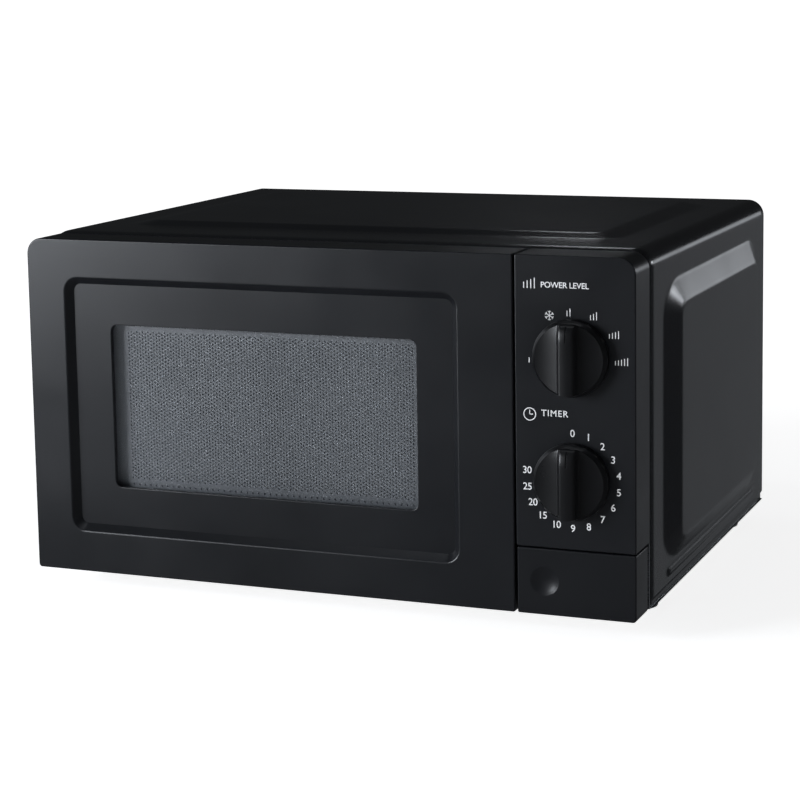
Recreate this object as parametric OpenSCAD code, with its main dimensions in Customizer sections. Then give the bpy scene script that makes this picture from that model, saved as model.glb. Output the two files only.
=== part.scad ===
// Countertop microwave oven with mechanical dials, side-hinged door and press-to-open key.
// Millimetres, +X to the right of a person facing the door, -Y towards that person, +Z up.
// Depths are counted from the front face with fy() and heights from the front frame's foot with fz().

/* [Body] */
// Width of the front: door and control panel together
front_w = 440; // [438:1:444]
// Height of the door and the control panel
front_h = 235.5; // [235:0.5:238]
// Depth from the front face to the rear edge of the case
body_d = 358; // [356:1:366]
// Height of the feet under the case
foot_h = 13; // [9:1:18]
// Rise of the pressed panels in the two sides of the case
side_rise = 6; // [3:0.5:8]
// Rise of the pressed panel in the top of the case
top_rise = 3; // [2:0.5:5]
// Thickness of the case's sheet
sheet = 1; // [0.8:0.1:1.2]

/* [Door] */
// Width of the door
door_w = 358; // [357:0.5:359]
// Thickness of the door and of the control panel
door_t = 32; // [31:0.5:32]
// Depth of the recess round the window
recess = 5.5; // [3:0.5:6]
// Width of the window
window_w = 227.5; // [200:0.5:235]
// Height of the window
window_h = 115; // [100:1:125]

/* [Cavity] */
// Inside width of the cooking space
cavity_w = 305; // [295:1:307]
// Inside height of the cooking space
cavity_h = 200; // [190:1:202]
// Inside depth of the cooking space
cavity_d = 300; // [290:1:308]
// Diameter of the glass plate
plate_d = 245; // [240:1:260]

/* [Controls] */
// Diameter of a dial knob
knob_d = 50; // [44:1:54]
// How far a knob stands in front of the panel
knob_reach = 15; // [14:1:20]
// Height of the release key
key_h = 44; // [40:1:46]

/* [Hidden] */

$fn = 48;
gland_out = 3;
front_y = knob_reach - (body_d + knob_reach + gland_out) / 2;
base_z = foot_h + 1;
left_x = -front_w / 2;
right_x = front_w / 2;
door_x1 = left_x + door_w;
panel_x0 = door_x1 + 1.4;
case_y0 = door_t + 1.5;
case_x = right_x + 0.4;
case_top = front_h + 1.3;
case_r = 12;
frame_r = 11;
plate_y = door_t + 1;
cav_x0 = -195;
cav_x1 = cav_x0 + cavity_w;
cav_y0 = plate_y + 1;
cav_y1 = cav_y0 + cavity_d;
cav_z0 = 22;
cav_z1 = cav_z0 + cavity_h;
cav_cx = (cav_x0 + cav_x1) / 2;
cav_cy = (cav_y0 + cav_y1) / 2;
win_cx = -44.75;
win_cz = 118.5;
dial_x = 178;
dial_power_z = 170.4;
dial_timer_z = 90.2;
hinge_x = left_x + 5;
hinge_y = door_t / 2;
arm_low = 6;
arm_high = 217;
hook_x0 = 123;
hook_x1 = 131;
hook_low = 48;
hook_high = 180;
lever_y = 40;
lever_z = 32;
key_pivot_x = right_x - 4;
key_pivot_y = 26;
key_back = 27;
tongue_z = 17.4;
wheel_r = 7.7;
wheel_z = cav_z0 + 8;
ring_r = 88;
fan_x = 166;
fan_z = 150;
rear_in = body_d - 1.5;
foot_x = 200;
foot_front = 88;
foot_rear = body_d - 38;

function fy(y) = front_y + y;
function fz(z) = base_z + z;

// Points of an arc from angle a0 to a1 about (cx, cy)
function arc(cx, cy, r, a0, a1, n = 6) =
    [for (i = [0:n]) [cx + r * cos(a0 + (a1 - a0) * i / n), cy + r * sin(a0 + (a1 - a0) * i / n)]];

// A box between two depths and two heights in the front's own measures
module slab(x0, x1, y0, y1, z0, z1) {
    translate([x0, fy(y0), fz(z0)])
        cube([x1 - x0, y1 - y0, z1 - z0]);
}

// A round bar along the depth
module rod_y(x, z, r, y0, y1) {
    translate([x, fy(y0), fz(z)])
        rotate([-90, 0, 0])
            cylinder(h = y1 - y0, r = r);
}

// A round bar along the width
module rod_x(y, z, r, x0, x1) {
    translate([x0, fy(y), fz(z)])
        rotate([0, 90, 0])
            cylinder(h = x1 - x0, r = r);
}

// A round bar along the height
module rod_z(x, y, r, z0, z1) {
    translate([x, fy(y), fz(z0)])
        cylinder(h = z1 - z0, r = r);
}

// Pushes an outline drawn in width and height through a depth
module prism_y(y0, y1) {
    translate([0, fy(y1), base_z])
        rotate([90, 0, 0])
            linear_extrude(height = y1 - y0)
                children();
}

// Outline with rounded top corners; a radius of zero leaves a corner square
module top_round(x0, x1, z0, z1, rl, rr) {
    polygon(concat(
        [[x0, z0], [x1, z0]],
        rr > 0 ? arc(x1 - rr, z1 - rr, rr, 0, 90) : [[x1, z1]],
        rl > 0 ? arc(x0 + rl, z1 - rl, rl, 90, 180) : [[x0, z1]]
    ));
}

// Pressed panel of the right-hand side: sloped on all four edges
module side_press(rise, wall) {
    foot = case_x - wall;
    intersection() {
        translate([0, 0, fz(18)])
            linear_extrude(height = 194.5)
                polygon([
                    [foot - 1, fy(61)], [foot, fy(61)], [foot + rise, fy(93)],
                    [foot + rise, fy(body_d - 47)], [foot, fy(body_d - 28)], [foot - 1, fy(body_d - 28)]
                ]);
        prism_y(61, body_d - 28)
            polygon([
                [foot - 1, 18], [foot, 18], [foot + rise, 38],
                [foot + rise, 193], [foot, 212.5], [foot - 1, 212.5]
            ]);
    }
}

// Pressed panel of the top
module top_press(rise, wall) {
    foot = case_top - wall;
    intersection() {
        prism_y(78, body_d - 30)
            polygon([
                [-185, foot - 1], [-185, foot], [-165, foot + rise],
                [165, foot + rise], [185, foot], [185, foot - 1]
            ]);
        translate([-185, 0, base_z])
            rotate([90, 0, 90])
                linear_extrude(height = 370)
                    polygon([
                        [fy(78), foot - 1], [fy(78), foot], [fy(103), foot + rise],
                        [fy(body_d - 50), foot + rise], [fy(body_d - 30), foot], [fy(body_d - 30), foot - 1]
                    ]);
    }
}

// Wrap-over cabinet: top and both sides folded from one sheet, lips turned in below
module outer_case() {
    color("#1c1d20")
        difference() {
            union() {
                prism_y(case_y0, body_d)
                    top_round(-case_x, case_x, -1, case_top, case_r, case_r);
                side_press(side_rise, 0);
                mirror([1, 0, 0])
                    side_press(side_rise, 0);
                top_press(top_rise, 0);
            }
            prism_y(case_y0 - 1, body_d + 1)
                top_round(-case_x + sheet, case_x - sheet, 0, case_top - sheet, case_r - 1, case_r - 1);
            slab(-case_x + 8, case_x - 8, case_y0 - 1, body_d + 1, -2, 1);
            side_press(side_rise, sheet);
            mirror([1, 0, 0])
                side_press(side_rise, sheet);
            top_press(top_rise, sheet);
        }
}

// Rear sheet with its flange, the fan's outlet slots, the cord hole and the screw holes
module rear_panel() {
    color("#8d9196")
        difference() {
            prism_y(rear_in - 12, rear_in + 1)
                top_round(-case_x + 1.4, case_x - 1.4, 0.2, case_top - 1.4, case_r - 2, case_r - 2);
            prism_y(rear_in - 13, rear_in)
                top_round(-case_x + 2.4, case_x - 2.4, 1.2, case_top - 2.4, case_r - 3, case_r - 3);
            for (i = [0:10])
                for (z = [118, 152])
                    slab(fan_x - 38 + 7 * i, fan_x - 34.5 + 7 * i, rear_in - 1, rear_in + 2, z, z + 28);
            for (i = [0:7])
                slab(-150 + 8 * i, -146 + 8 * i, rear_in - 1, rear_in + 2, 180, 205);
            rod_y(190, 34, 8, rear_in - 1, rear_in + 2);
            screw_places()
                rotate([-90, 0, 0])
                    cylinder(h = 12, r = 1.8, center = true);
        }
}

// Where the rear screws go: three along the top, two down each side
module screw_places() {
    for (p = [[-205, 60], [-205, 190], [0, 229], [205, 60], [205, 190]])
        translate([p[0], fy(rear_in + 0.5), fz(p[1])])
            children();
}

// Pan-head screws that hold the case and the rear sheet
module case_screws() {
    color("#b9bcc0")
        screw_places()
            rotate([-90, 0, 0]) {
                translate([0, 0, 0.5])
                    cylinder(h = 2, r = 3.6);
                translate([0, 0, -7])
                    cylinder(h = 7.5, r = 1.7);
            }
}

// Bottom pan with foot holes and air slots
module base_plate() {
    color("#9a9ea3")
        difference() {
            slab(-case_x + 1.1, case_x - 1.1, plate_y + 1.1, rear_in - 12.1, 0, 1);
            for (x = [-foot_x, foot_x])
                for (y = [foot_front, foot_rear])
                    rod_z(x, y, 4.1, -1, 2);
            for (i = [0:9])
                slab(-150 + 9 * i, -146 + 9 * i, 260, 290, -1, 2);
            for (i = [0:5])
                slab(130 + 9 * i, 134 + 9 * i, 285, 315, -1, 2);
        }
}

// Moulded feet, pushed into the bottom pan by their stems
module feet() {
    color("#151618")
        for (x = [-foot_x, foot_x])
            for (y = [foot_front, foot_rear]) {
                translate([x, fy(y), 0])
                    cylinder(h = base_z, r = 11.8);
                rod_z(x, y, 4.05, -0.5, 4);
            }
}

// Steel facing plate behind the door and the control panel, open at the cavity and at the controls and hooks
module front_plate() {
    color("#c3c6c9")
        difference() {
            prism_y(plate_y, plate_y + 1)
                top_round(-case_x + 1.2, case_x - 1.2, 1.2, front_h - 0.5, frame_r, frame_r);
            slab(cav_x0, cav_x1, plate_y - 1, plate_y + 2, cav_z0, cav_z1);
            slab(hook_x0 - 2.5, 213, plate_y - 1, plate_y + 2, hook_low - 12, 226);
            slab(146.5, 159, plate_y - 1, plate_y + 2, 16, 28);
            for (z = [arm_low - 0.6, arm_high - 0.6])
                slab(hinge_x - 4, hinge_x + 5, plate_y - 1, plate_y + 2, z, z + 4.2);
        }
}

// Cooking space: five welded walls with the drive hole, wave opening, lamp slots and outlet slots
module cavity() {
    color("#d5d7d8")
        difference() {
            slab(cav_x0 - 1, cav_x1 + 1, cav_y0, cav_y1 + 1, cav_z0 - 1, cav_z1 + 1);
            slab(cav_x0, cav_x1, cav_y0 - 1, cav_y1, cav_z0, cav_z1);
            rod_z(cav_cx, cav_cy, 7, cav_z0 - 2, cav_z0 + 1);
            slab(cav_x1 - 1, cav_x1 + 2, 150, 222, 118, 166);
            for (i = [0:5])
                slab(cav_x1 - 1, cav_x1 + 2, 94 + 4.5 * i, 96.5 + 4.5 * i, 184, 208);
            for (i = [0:7])
                slab(cav_x0 - 2, cav_x0 + 1, 230 + 8 * i, 234 + 8 * i, 170, 200);
        }
}

// Mica sheet over the wave opening
module mica_cover() {
    color("#b9ad93")
        slab(cav_x1 - 0.6, cav_x1, 142, 230, 110, 174);
}

// Wave guide between the magnetron and the cavity
module waveguide() {
    color("#c9cccf")
        difference() {
            slab(cav_x1 + 1, cav_x1 + 29, 140, 232, 108, 202);
            slab(cav_x1, cav_x1 + 28, 141, 231, 109, 201);
            rod_x(186, 178, 11, cav_x1 + 20, cav_x1 + 40);
        }
}

// Magnetron's yoke, open front to back for the cooling air
module magnetron_yoke() {
    color("#aeb2b6")
        difference() {
            slab(cav_x1 + 29, cav_x1 + 80, 146, 226, 138, 218);
            slab(cav_x1 + 31, cav_x1 + 78, 145, 227, 140, 216);
            rod_x(186, 178, 12, cav_x1 + 28, cav_x1 + 32);
            rod_x(186, 178, 9, cav_x1 + 77, cav_x1 + 81);
        }
}

// Magnetron's anode, fins, antenna and filter box
module magnetron_core() {
    color("#b87a4b") {
        rod_x(186, 178, 19, cav_x1 + 31, cav_x1 + 78);
        for (i = [0:4])
            slab(cav_x1 + 38 + 8 * i, cav_x1 + 39 + 8 * i, 150, 222, 143, 213);
        rod_x(186, 178, 7.5, cav_x1 + 8, cav_x1 + 31.5);
        rod_x(186, 178, 8.5, cav_x1 + 77.5, cav_x1 + 80.5);
        slab(cav_x1 + 80, cav_x1 + 104, 158, 214, 150, 206);
    }
}

// Laminated core of the high-voltage transformer
module transformer_core() {
    color("#5c5f63")
        difference() {
            slab(124, 212, 196, 256, 1, 73);
            slab(140, 156, 195, 257, 15, 59);
            slab(180, 196, 195, 257, 15, 59);
        }
}

// Windings round the centre leg
module transformer_windings() {
    color("#a8693a")
        difference() {
            slab(140.4, 195.6, 182, 270, 15.4, 58.6);
            slab(155.6, 180.4, 195.5, 256.5, 14, 60);
        }
}

// High-voltage capacitor with its two tabs
module capacitor() {
    color("#b6babd") {
        rod_y(148, 25, 22, 66, 152);
        slab(139, 141, 152, 160, 22, 28);
        slab(155, 157, 152, 160, 22, 28);
    }
}

// Strap that holds the capacitor to the bottom pan
module capacitor_strap() {
    color("#8f9397") {
        difference() {
            rod_y(148, 25, 23.2, 100, 114);
            rod_y(148, 25, 22.05, 99, 115);
        }
        slab(171, 172.2, 100, 114, 1, 26);
        slab(171, 190, 100, 114, 1, 2.2);
    }
}

// High-voltage diode on its lug
module hv_diode() {
    color("#202226") {
        rod_x(132, 8, 3.5, 182, 204);
        slab(200, 202, 126, 138, 1, 10);
    }
}

// Air baffle that carries the fan
module fan_duct() {
    color("#9da1a6")
        difference() {
            slab(cav_x1 + 2, case_x - 1.3, 300, 301.2, 62, 222);
            rod_y(fan_x, fan_z, 50, 299, 303);
        }
}

// Shaded-pole fan motor and its bridge
module fan_motor() {
    color("#6b6f74")
        difference() {
            union() {
                slab(fan_x - 30, fan_x + 30, 328, 340, 126, 174);
                slab(fan_x - 20, fan_x + 8, 324, 343.5, 108, 130);
                slab(113.5, case_x - 1.8, 328, 329.4, 143, 157);
                slab(113.5, 116, 301.2, 329.4, 143, 157);
                slab(case_x - 4.3, case_x - 1.8, 301.2, 329.4, 143, 157);
            }
            rod_y(fan_x, fan_z, 2.55, 320, 341);
        }
}

// Fan wheel on its shaft
module fan_blade() {
    color("#e2e4e5") {
        rod_y(fan_x, fan_z, 11, 305, 320);
        rod_y(fan_x, fan_z, 2.5, 318, 338);
        for (a = [0:72:288])
            translate([fan_x, fy(312), fz(fan_z)])
                rotate([0, a, 0])
                    translate([27, 0, 0])
                        rotate([35, 0, 0])
                            cube([38, 1.4, 18], center = true);
    }
}

// Body of the spring-wound timer with its bush
module timer_body() {
    color("#d9d6c8")
        difference() {
            union() {
                slab(dial_x - 26, dial_x + 26, 7, 42, dial_timer_z - 26, dial_timer_z + 26);
                rod_y(dial_x, dial_timer_z, 7, 2.6, 7.5);
            }
            rod_y(dial_x, dial_timer_z, 3.05, 2, 31);
        }
}

// Bell struck when the time runs out
module timer_bell() {
    color("#d8dadc")
        difference() {
            rod_y(dial_x, dial_timer_z, 21, 42, 54);
            rod_y(dial_x, dial_timer_z, 19.8, 41, 52.8);
        }
}

// Power selector with its bush
module power_switch() {
    color("#e6e3d6")
        difference() {
            union() {
                slab(dial_x - 20, dial_x + 20, 7, 31, dial_power_z - 20, dial_power_z + 20);
                rod_y(dial_x, dial_power_z, 7, 2.6, 7.5);
            }
            rod_y(dial_x, dial_power_z, 3.05, 2, 27);
        }
}

module dial_shaft(z, y1) {
    rod_y(dial_x, z, 3, -12, y1);
}

// Shaft of the timer
module timer_shaft() {
    color("#e9e9e6")
        dial_shaft(dial_timer_z, 30);
}

// Shaft of the power selector
module power_shaft() {
    color("#e9e9e6")
        dial_shaft(dial_power_z, 26);
}

// Dial knob: a skirt with a tapered grip blade across its face
module dial_knob(z) {
    r = knob_d / 2;
    difference() {
        union() {
            rod_y(dial_x, z, r, -9, -0.8);
            intersection() {
                rod_y(dial_x, z, r - 0.6, -knob_reach, -8);
                translate([dial_x, 0, fz(z - r)])
                    linear_extrude(height = knob_d)
                        polygon([
                            [-10, fy(-8)], [-6, fy(-11)], [-5, fy(-knob_reach)],
                            [5, fy(-knob_reach)], [6, fy(-11)], [10, fy(-8)]
                        ]);
            }
        }
        difference() {
            rod_y(dial_x, z, r - 2, -6.5, 0);
            rod_y(dial_x, z, 6, -7, 1);
        }
        rod_y(dial_x, z, 3, -12, 0);
    }
}

module timer_knob() {
    color("#26282c")
        dial_knob(dial_timer_z);
}

module power_knob() {
    color("#26282c")
        dial_knob(dial_power_z);
}

// Control panel above the key, with a tongue that carries the key's pivot
module control_panel() {
    color("#25282d")
        difference() {
            union() {
                difference() {
                    prism_y(0, door_t)
                        top_round(panel_x0, right_x, key_h + 0.9, front_h, 0, frame_r);
                    prism_y(2.6, door_t + 1)
                        top_round(panel_x0 + 2.5, right_x - 2.5, key_h + 3.4, front_h - 2.5, 0, frame_r - 2);
                }
                slab(panel_x0 + 4, right_x - 8, door_t - 2, door_t, 3, key_h + 1);
                for (z = [8, 33])
                    slab(right_x - 9, right_x - 3.5, key_pivot_y - 4, door_t - 1, z, z + 3);
                for (z = [56, 130, 214])
                    for (x = [panel_x0 + 3, right_x - 9])
                        slab(x, x + 6, 2.5, plate_y, z, z + 6);
            }
            for (z = [dial_power_z, dial_timer_z])
                rod_y(dial_x, z, 4, -1, 4);
            slab(147, 158.5, door_t - 3, door_t + 1, 16, 28);
            rod_z(key_pivot_x, key_pivot_y, 1.5, 6, 40.4);
        }
}

// Steel pin the key turns on
module key_pin() {
    color("#c8cacc")
        rod_z(key_pivot_x, key_pivot_y, 1.5, 6, 40.4);
}

// Coil round the pin that brings the key back
module key_spring() {
    color("#b4b8bb")
        difference() {
            rod_z(key_pivot_x, key_pivot_y, 2.6, 18, 30);
            rod_z(key_pivot_x, key_pivot_y, 1.7, 17, 31);
        }
}

// Door release key: the whole lower block of the panel, hollow behind
module release_key() {
    color("#202226")
        difference() {
            union() {
                difference() {
                    slab(panel_x0 + 0.5, right_x, 0, door_t, 0, key_h);
                    slab(panel_x0 + 2.7, right_x - 2.5, 2.6, door_t + 1, 2, key_h - 2.5);
                }
                for (z = [12.4, 37.4])
                    slab(key_pivot_x - 4, right_x - 2, 2.5, key_pivot_y + 3.4, z, z + 2.4);
                slab(150, 155, 2.5, 38.2, tongue_z, tongue_z + 5);
            }
            translate([158.5, fy(-22.4), fz(22.5)])
                sphere(r = 24.3);
            rod_z(key_pivot_x, key_pivot_y, 1.55, 11, 41);
            rod_z(key_pivot_x, key_pivot_y, 2.9, 16, 32);
            slab(panel_x0, 149, key_back, door_t + 1, -1, key_h + 1);
            slab(148, 157, key_back, door_t + 1, -1, tongue_z - 1);
            slab(148, 157, key_back, door_t + 1, 26, key_h + 1);
            slab(156, right_x - 7, key_back, door_t + 1, -1, key_h + 1);
        }
}

// Lever between the key and the door's hooks
module release_lever() {
    color("#cfd2d4") {
        rod_x(lever_y, lever_z, 3.6, 118.2, 157.8);
        rod_x(lever_y, lever_z, 2, 115.5, 161);
        slab(148, 157, lever_y - 1.4, lever_y + 1.6, 16.5, lever_z);
        slab(122, 132, lever_y - 2, lever_y + 2, lever_z, 43);
        slab(122, 132, lever_y - 2, lever_y + 17, 40, 43);
    }
}

// Plastic board beside the cavity: bearings for the lever, catch ledge and switch seats
module latch_board() {
    color("#ece9df")
        difference() {
            union() {
                slab(cav_x1 + 1, 114.5, 35, 84, 10, 212);
                slab(114, 163, 36, 60, 10, 12.5);
                slab(114, 117, 36, 46, 12, 40);
                slab(159, 162, 36, 46, 12, 38);
                slab(114, 131, 44, 50.5, hook_high - 10, hook_high - 4.4);
                for (z = [hook_low + 2, hook_high + 2])
                    slab(114, 134, 66, 80, z - 7, z - 4);
            }
            rod_x(lever_y, lever_z, 2.05, 111, 165);
        }
}

// Interlock switches
module microswitches() {
    color("#2b2d31")
        difference() {
            for (z = [hook_low - 2, hook_high - 2]) {
                slab(121, 133, 62, 80, z, z + 13);
                slab(125, 129, 80, 86, z + 3, z + 5);
            }
            for (z = [hook_low + 4, hook_high + 4])
                rod_y(127, z, 1.55, 61, 67);
        }
}

// Switch plungers that the hooks push
module switch_plungers() {
    color("#c33f36")
        for (z = [hook_low + 4, hook_high + 4])
            rod_y(127, z, 1.5, 57.6, 65);
}

// Moulded door frame: recessed bezel, window hole, pin bosses
module door_frame() {
    bz = [-192, 100.5, 28, 209.5];
    s = recess;
    color("#2a2d32")
        difference() {
            union() {
                difference() {
                    prism_y(0, door_t)
                        top_round(left_x, door_x1, 0, front_h, frame_r, 0);
                    prism_y(recess + 3.5, door_t + 1)
                        top_round(left_x + 3, door_x1 - 3, 3, front_h - 3, frame_r - 3, 0);
                }
                for (z = [arm_low, arm_high])
                    slab(left_x + 1, hinge_x + 6, recess + 3, door_t - 8, z + 3.8, z + 10);
                for (x = [-200, 108])
                    for (z = [12, front_h - 20])
                        slab(x, x + 8, recess + 3, 14, z, z + 8);
                for (z = [66, 160])
                    slab(120, door_x1 - 2, recess + 3, 20.7, z, z + 5);
                slab(120, door_x1 - 2, recess + 3, 27, 222, 225);
            }
            intersection() {
                translate([0, 0, fz(bz[2])])
                    linear_extrude(height = bz[3] - bz[2])
                        polygon([
                            [bz[0], fy(-1)], [bz[0], fy(0)], [bz[0] + s, fy(s)],
                            [bz[1] - s, fy(s)], [bz[1], fy(0)], [bz[1], fy(-1)]
                        ]);
                translate([bz[0], 0, base_z])
                    rotate([90, 0, 90])
                        linear_extrude(height = bz[1] - bz[0])
                            polygon([
                                [fy(-1), bz[2]], [fy(0), bz[2]], [fy(s), bz[2] + s],
                                [fy(s), bz[3] - s], [fy(0), bz[3]], [fy(-1), bz[3]]
                            ]);
            }
            slab(win_cx - window_w / 2, win_cx + window_w / 2, -1, 12,
                win_cz - window_h / 2, win_cz + window_h / 2);
            for (z = [arm_low, arm_high])
                slab(left_x - 1, left_x + 3.1, recess + 3.7, door_t + 1, z - 1, z + 3.8);
            slab(left_x - 1, left_x + 3.1, door_t - 1.5, door_t + 1, -1, front_h + 1);
            for (z = [arm_low, arm_high])
                rod_z(hinge_x, hinge_y, 3.05, z + 3, z + 8.6);
        }
}

// Clear pane behind the window hole
module door_window() {
    color("#30363c", 0.5)
        slab(win_cx - window_w / 2 - 4, win_cx + window_w / 2 + 4, recess + 3.5, recess + 5.5,
            win_cz - window_h / 2 - 4, win_cz + window_h / 2 + 4);
}

// Steel door plate with its folded choke rim
module door_plate() {
    color("#8b9198")
        difference() {
            slab(-203, 118.5, 14, 28.8, 10, front_h - 10);
            slab(-202, 117.5, 15, 27.8, 11, front_h - 11);
            slab(-195, 110.5, 20, 30, 18, front_h - 18);
        }
}

// Film on the cavity side of the door plate
module inner_film() {
    color("#c9d3d8", 0.4)
        slab(-200, 116, 15, 15.5, 14, front_h - 14);
}

// Cover over the choke, with slots for the hooks
module choke_cover() {
    color("#1e2024")
        difference() {
            slab(-204, door_x1 - 3.3, 28.8, 31.4, 3.4, front_h - 3.4);
            slab(-186, 101, 28, 33, 31, front_h - 22);
            for (z = [hook_low - 7, hook_high - 7])
                slab(hook_x0 - 1.5, hook_x1 + 1.5, 28, 33, z, z + 21);
        }
}

// Sliding latch with two hooks, inside the closing edge of the door
module door_latch() {
    color("#f0eee6") {
        slab(hook_x0, hook_x1, 21, 25.5, 34, 200);
        for (z = [hook_low, hook_high]) {
            slab(hook_x0, hook_x1, 25, 57, z, z + 8);
            slab(hook_x0, hook_x1, 52, 57, z - 4, z + 1);
        }
    }
}

// Spring that keeps the latch down
module latch_spring() {
    color("#b4b8bb")
        difference() {
            rod_z((hook_x0 + hook_x1) / 2, 23.2, 2.6, 200, 222);
            rod_z((hook_x0 + hook_x1) / 2, 23.2, 1.9, 199, 223);
        }
}

// Plate behind the facing plate, arm through its slot, pin pointing up into the door
module hinge_bracket(z, plate_z) {
    slab(left_x + 2, cav_x0 - 2, plate_y + 1, plate_y + 2.5, plate_z, plate_z + 22);
    slab(hinge_x - 3.2, hinge_x + 4.4, hinge_y - 4, plate_y + 1.5, z, z + 3);
    rod_z(hinge_x, hinge_y, 3, z + 2, z + 8);
}

// Hinge bracket at the top of the door
module upper_hinge() {
    color("#a3a7ab")
        hinge_bracket(arm_high, arm_high - 17);
}

// Hinge bracket at the foot of the door
module lower_hinge() {
    color("#a3a7ab")
        hinge_bracket(arm_low, arm_low - 1);
}

// Round glass plate with a raised rim
module turntable_plate() {
    r = plate_d / 2;
    color("#dfe9ec", 0.45)
        translate([cav_cx, fy(cav_cy), fz(38)])
            rotate_extrude()
                polygon([[0, 0], [r - 12, 0], [r, 7], [r, 9], [r - 3, 9], [r - 13.5, 4], [0, 4]]);
}

// Three-armed coupler on the drive shaft
module turntable_coupler() {
    color("#e8e4d8") {
        rod_z(cav_cx, cav_cy, 3, 12, 24);
        rod_z(cav_cx, cav_cy, 6.5, 23, 37.9);
        for (a = [90, 210, 330])
            translate([cav_cx, fy(cav_cy), fz(30)])
                rotate([0, 0, a])
                    translate([0, -2, 0])
                        cube([17, 4, 7.9]);
    }
}

// Roller ring with its three stub axles
module roller_ring() {
    color("#e8e4d8") {
        difference() {
            rod_z(cav_cx, cav_cy, ring_r + 3, wheel_z - 2.5, wheel_z + 2.5);
            rod_z(cav_cx, cav_cy, ring_r - 3, wheel_z - 4, wheel_z + 4);
        }
        for (a = [90, 210, 330])
            on_ring(a) {
                translate([ring_r, 0, 0])
                    rotate([0, 90, 0])
                        cylinder(h = 17, r = 2);
                translate([ring_r + 15.6, 0, 0])
                    rotate([0, 90, 0])
                        cylinder(h = 1.4, r = 3.4);
            }
    }
}

// Places a child on the ring, its X pointing outwards
module on_ring(a) {
    translate([cav_cx, fy(cav_cy), fz(wheel_z)])
        rotate([0, 0, a])
            children();
}

module roller(a) {
    color("#e8e4d8")
        on_ring(a)
            translate([ring_r + 9, 0, 0])
                rotate([0, 90, 0])
                    difference() {
                        cylinder(h = 6, r = wheel_r);
                        translate([0, 0, -1])
                            cylinder(h = 8, r = 2.05);
                    }
}

module roller_a() {
    roller(90);
}

module roller_b() {
    roller(210);
}

module roller_c() {
    roller(330);
}

// Synchronous motor under the cavity floor
module turntable_motor() {
    color("#c7cacc")
        difference() {
            union() {
                rod_z(cav_cx, cav_cy, 25, 4.5, cav_z0 - 1.6);
                slab(cav_cx - 34, cav_cx + 34, cav_cy - 6, cav_cy + 6, cav_z0 - 2.4, cav_z0 - 1);
            }
            rod_z(cav_cx, cav_cy, 3.05, 11.5, cav_z0);
        }
}

// Lamp bracket and socket outside the right-hand wall of the cavity
module lamp_holder() {
    color("#d8d5c9") {
        difference() {
            slab(cav_x1 + 1, cav_x1 + 3, 88, 126, 178, 216);
            slab(cav_x1, cav_x1 + 4, 93, 121, 183, 209);
        }
        slab(cav_x1 + 1, cav_x1 + 56, 124, 126, 180, 212);
        slab(cav_x1 + 44, cav_x1 + 56, 96, 125, 186, 206);
    }
}

// Lamp
module lamp_bulb() {
    color("#f4efd9", 0.6)
        translate([cav_x1 + 11, fy(108), fz(196)])
            rotate([0, 90, 0])
                rotate_extrude()
                    polygon(concat(arc(0, 11, 11, -90, 50, 8), [[7, 33], [0, 33]]));
}

// Over-temperature cut-out on the roof of the cavity
module thermal_cutout() {
    color("#3a3c40") {
        rod_z(-90, 180, 8, cav_z1 + 1, cav_z1 + 7);
        slab(-102, -78, 177, 183, cav_z1 + 1, cav_z1 + 2);
    }
}

// Mains filter board with fuse, choke and film capacitor
module filter_board() {
    color("#6d8a4e") {
        slab(126, 176, 322, 323.6, 1, 52);
        slab(132, 150, 312, 322.5, 30, 44);
        rod_y(164, 22, 9, 308, 322.5);
        slab(134, 156, 316, 322.5, 8, 14);
    }
}

// Grommet for the mains cord in the rear sheet
module cord_gland() {
    color("#17181a")
        difference() {
            union() {
                rod_y(190, 34, 11, rear_in + 1, body_d + gland_out);
                rod_y(190, 34, 7.9, rear_in - 5, rear_in + 1.5);
            }
            rod_y(190, 34, 3.6, rear_in - 6, body_d + gland_out + 1);
        }
}

outer_case();
rear_panel();
base_plate();
front_plate();
cavity();
mica_cover();
waveguide();
magnetron_yoke();
magnetron_core();
transformer_core();
transformer_windings();
capacitor();
capacitor_strap();
hv_diode();
fan_duct();
fan_motor();
fan_blade();
timer_body();
timer_bell();
timer_shaft();
timer_knob();
power_switch();
power_shaft();
power_knob();
control_panel();
release_key();
key_pin();
key_spring();
release_lever();
latch_board();
microswitches();
switch_plungers();
door_frame();
door_window();
door_plate();
inner_film();
choke_cover();
door_latch();
latch_spring();
upper_hinge();
lower_hinge();
turntable_plate();
turntable_coupler();
roller_ring();
roller_a();
roller_b();
roller_c();
turntable_motor();
lamp_holder();
lamp_bulb();
thermal_cutout();
filter_board();
cord_gland();
feet();
case_screws();
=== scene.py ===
"""Looks of a countertop microwave oven with two dials, built round its CAD frame as a Blender add-on."""
import math
from functools import partial

import bmesh
import bpy
import numpy as np
from mathutils import Matrix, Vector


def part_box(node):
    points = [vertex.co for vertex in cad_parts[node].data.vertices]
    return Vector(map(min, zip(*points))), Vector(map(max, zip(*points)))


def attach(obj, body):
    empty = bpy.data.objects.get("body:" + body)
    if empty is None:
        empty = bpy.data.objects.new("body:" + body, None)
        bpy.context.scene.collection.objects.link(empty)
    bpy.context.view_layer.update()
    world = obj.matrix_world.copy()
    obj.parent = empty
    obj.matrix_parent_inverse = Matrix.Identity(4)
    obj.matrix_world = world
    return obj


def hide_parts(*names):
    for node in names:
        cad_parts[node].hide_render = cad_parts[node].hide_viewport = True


bl_info = {
    "name": "Countertop Microwave Oven",
    "version": (1, 0, 0),
    "blender": (4, 5, 0),
    "location": "View3D > Sidebar > Microwave",
    "description": "Builds the case, door, dials, screen and finishes of a countertop microwave oven",
    "category": "Object",
}

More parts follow.
